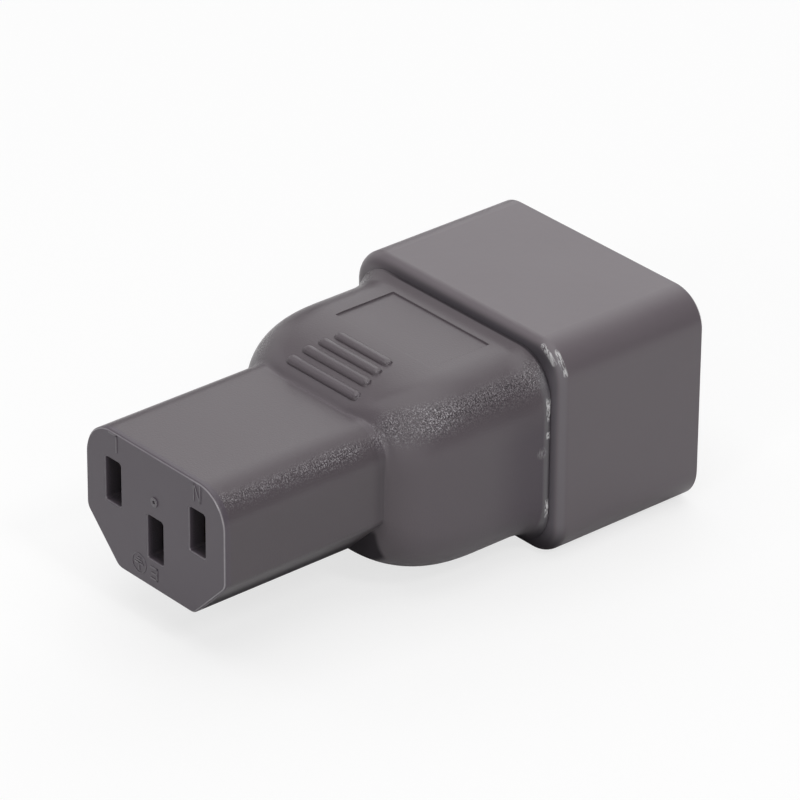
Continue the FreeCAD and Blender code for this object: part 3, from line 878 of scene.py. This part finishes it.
def makeMarks(finish):
    spec = marks
    bpy.ops.object.select_all(action="DESELECT")
    bars = []
    for (across, up), strokes in spec["signs"].values():
        for x0, z0, x1, z1 in strokes:
            span = math.hypot(x1 - x0, z1 - z0) + spec["strokeWidth"]
            at = place(across - (x0 + x1) / 2, 0, up - (z0 + z1) / 2)
            bpy.ops.mesh.primitive_cube_add(size=1, location=at)
            bar = bpy.context.object
            depth = 2 * spec["strokeRise"]      # half is sunk in the face
            bar.scale = (span * mm, depth * mm, spec["strokeWidth"] * mm)
            bar.rotation_euler = (0, -math.atan2(z1 - z0, x1 - x0), 0)
            bars.append(bar)
    across, up = spec["signs"]["ground"][0]
    bpy.ops.mesh.primitive_torus_add(
        location=place(across, 0, up), rotation=(math.pi / 2, 0, 0),
        major_segments=spec["ringSteps"], minor_segments=spec["ringSides"],
        major_radius=spec["ringRadius"] * mm, minor_radius=spec["strokeRise"] * mm)
    ring = bpy.context.object
    for bar in bars:
        bar.select_set(True)
    ring.select_set(False)
    bpy.context.view_layer.objects.active = bars[0]
    bpy.ops.object.transform_apply(location=True, rotation=True, scale=True)
    bpy.ops.object.join()
    bpy.ops.object.mode_set(mode="EDIT")
    bpy.ops.mesh.select_all(action="SELECT")
    bpy.ops.mesh.bevel(offset=spec["strokeBevel"] * mm, segments=spec["bevelSteps"], affect="EDGES")
    bpy.ops.object.mode_set(mode="OBJECT")
    ring.select_set(True)
    bpy.ops.object.transform_apply(location=True, rotation=True, scale=True)
    bpy.ops.object.join()
    piece = bpy.context.object
    piece.name = "terminalMarks"
    piece.data.name = "terminalMarks"
    return endPiece(piece, finish, spec["smoothAngle"])


# Flash: torn film of plastic that stands out of the seam on the right side
flash = {
    "low": -8.2, "high": 7.6, "rows": 260, "columns": 3, "station": 40.60, "thickness": 0.08,
    "tears": [(5.9, 1.5, 0.20), (2.8, 0.45, 0.14), (-6.1, 1.25, 0.18)],     # middle, half span, reach
    "tearCore": 0.6,        # share of the half span with the full reach
    "seed": 7, "tatter": (0.25, 1.0),
    "sunk": 0.15, "width": 0.08,        # between the tears the film stays hidden in the moulding
    "sway": 0.05, "swayUp": 2.2, "swayOut": 2, "swaySlice": 5,
    "smoothAngle": 40,
}


def makeFlash(finish):
    spec = flash
    draw = random.Random(spec["seed"])
    radius = overmould["gripRadius"]
    piece = startPiece("seamFlash", bpy.ops.mesh.primitive_grid_add,
                       x_subdivisions=spec["columns"], y_subdivisions=spec["rows"], size=1, calc_uvs=False)
    tatter = [draw.uniform(*spec["tatter"]) for index in range(spec["rows"] + 1)]
    for vertex in piece.data.vertices:
        column = vertex.co.x + 0.5
        row = round((vertex.co.y + 0.5) * spec["rows"])
        up = spec["low"] + (spec["high"] - spec["low"]) * row / spec["rows"]
        over = max(abs(up) - (gripHalf[1] - radius), 0)
        edge = gripHalf[0] - radius + math.sqrt(radius * radius - over * over)
        reach = spec["width"]
        for middle, half, most in spec["tears"]:
            inside = 1 - smoothStep(spec["tearCore"] * half, half, abs(up - middle))
            reach += most * tatter[row] * inside
        wave = ragged.noise(Vector((up * spec["swayUp"], column * spec["swayOut"], spec["swaySlice"])))
        out = edge - spec["sunk"] + reach * column
        vertex.co = place(out, spec["station"] + spec["sway"] * wave, up)
    piece.modifiers.new("film", "SOLIDIFY").thickness = spec["thickness"] * mm
    bpy.ops.object.modifier_apply(modifier="film")
    return endPiece(piece, finish, spec["smoothAngle"])


# Stage: pale floor, soft boxes all round, camera at the photo's view
stage = {
    "floorSize": 8.0,       # metres
    "floorDrop": 0.01,      # mm below the part
    "floorColour": (0.45, 0.45, 0.45, 1),       # for the light that it throws up at the part
    "seenColour": (0.97, 0.97, 0.97, 1),
    "whiteShare": 0.72,     # how far the camera sees it plain white, without shadows
    "roomColour": (1.0, 1.0, 1.0, 1), "roomStrength": 0.01,
    "aim": (0, 0, 0.012),       # what the soft boxes face, in metres
}
lamps = {       # way to each soft box from the part, its distance and edge in metres, its power in watts
    "topBox": {"way": (0.0, 0.0, 1.0), "distance": 0.70, "size": 0.80, "power": 3.4},
    "rearBox": {"way": (-0.45, 0.75, 0.48), "distance": 0.90, "size": 0.80, "power": 2.8},
    "leftBox": {"way": (-0.90, 0.0, 0.38), "distance": 0.90, "size": 0.80, "power": 1.6},
    "sideBox": {"way": (0.70, -0.58, 0.42), "distance": 0.90, "size": 0.80, "power": 2.0},
    "fillBox": {"way": (-0.62, -0.65, 0.42), "distance": 0.90, "size": 0.80, "power": 0.6},
    "rightBox": {"way": (0.75, 0.57, 0.34), "distance": 0.90, "size": 0.80, "power": 0.15},
    "sparkBox": {"way": (0.68, -0.06, 0.73), "distance": 0.70, "size": 0.12, "power": 0.85},
    "frontBox": {"way": (0.30, -0.85, 0.45), "distance": 0.70, "size": 0.12, "power": 0.50},
}
viewpoint = {       # degrees, the distance in metres, and mm for the lens and the place it aims at
    "azimuth": 49.27, "elevation": 28.584, "roll": 0.477, "distance": 0.6296, "lens": 264.11,
    "aim": (-1.80, 35.0, 1.703), "clipEnd": 50,
}


def makeFloor():
    floor = startPiece("floor", bpy.ops.mesh.primitive_plane_add, size=stage["floorSize"],
                       location=(0, 0, cadLow.z - stage["floorDrop"] * mm))
    material, spot = startFinish("paleFloor")
    bounced = spot.node("ShaderNodeBsdfDiffuse", None, {"Color": stage["floorColour"]})
    matt = spot.node("ShaderNodeBsdfDiffuse", None, {"Color": stage["seenColour"]})
    white = spot.node("ShaderNodeEmission", None, {"Strength": 1.0})
    seen = spot.node("ShaderNodeLightPath", output="Is Camera Ray")
    shown = spot.node("ShaderNodeMixShader", None, {0: stage["whiteShare"] * seen, 1: matt, 2: white})
    for ray in ("Is Glossy Ray", "Is Transmission Ray"):
        seen = seen + spot.node("ShaderNodeLightPath", output=ray)
    mixed = spot.node("ShaderNodeMixShader", None, {0: seen, 1: bounced, 2: shown})
    spot.node("ShaderNodeOutputMaterial", None, {"Surface": mixed})
    floor.data.materials.append(material)


def makeLights():
    world = bpy.data.worlds.new("room")
    bpy.context.scene.world = world
    world.use_nodes = True
    background = world.node_tree.nodes["Background"]
    background.inputs["Color"].default_value = stage["roomColour"]
    background.inputs["Strength"].default_value = stage["roomStrength"]
    for name, lamp in lamps.items():
        way = Vector(lamp["way"]).normalized()
        bpy.ops.object.light_add(type="AREA", location=Vector(stage["aim"]) + way * lamp["distance"])
        box = bpy.context.object
        box.name = name
        box.data.size = lamp["size"]
        box.data.energy = lamp["power"]
        box.rotation_euler = way.to_track_quat("Z", "Y").to_euler()
    print("lights:", ", ".join(lamps))


def makeCamera():
    spec = viewpoint
    azimuth = math.radians(spec["azimuth"])
    elevation = math.radians(spec["elevation"])
    back = Vector((math.sin(azimuth) * math.cos(elevation),
                   -math.cos(azimuth) * math.cos(elevation), math.sin(elevation)))
    bpy.ops.object.camera_add(location=place(*spec["aim"]) + back * spec["distance"])
    camera = bpy.context.object
    camera.name = "photoCamera"
    camera.data.lens = spec["lens"]
    camera.data.clip_end = spec["clipEnd"]
    roll = Matrix.Rotation(math.radians(spec["roll"]), 3, "Z")
    camera.rotation_euler = ((-back).to_track_quat("-Z", "Y").to_matrix() @ roll).to_euler()
    bpy.context.scene.camera = camera


def dressNode(name, finish):
    materials = nodes[name].data.materials
    materials.clear()
    materials.append(finish)


textured = texturedPlastic()
smooth = smoothPlastic()
face = facePlastic()
dressNode("inlet_shroud", smooth)
dressNode("outlet_core", face)
dressNode("outlet_core_cap", face)
metalNickel = drawnMetal("nickelPlate")
metalBrass = drawnMetal("brassStrip")
dressNode("contact_rivets", metalBrass)
for pole in ("line", "neutral", "earth"):
    dressNode(pole + "_contact", metalBrass)
    dressNode(pole + "_blade", metalNickel)
makeOvermould(textured)
makeMarks(face)
makeFlash(flashPlastic())
makeFloor()
makeLights()
makeCamera()
bpy.context.scene.view_settings.view_transform = "Standard"

print("scene ready")
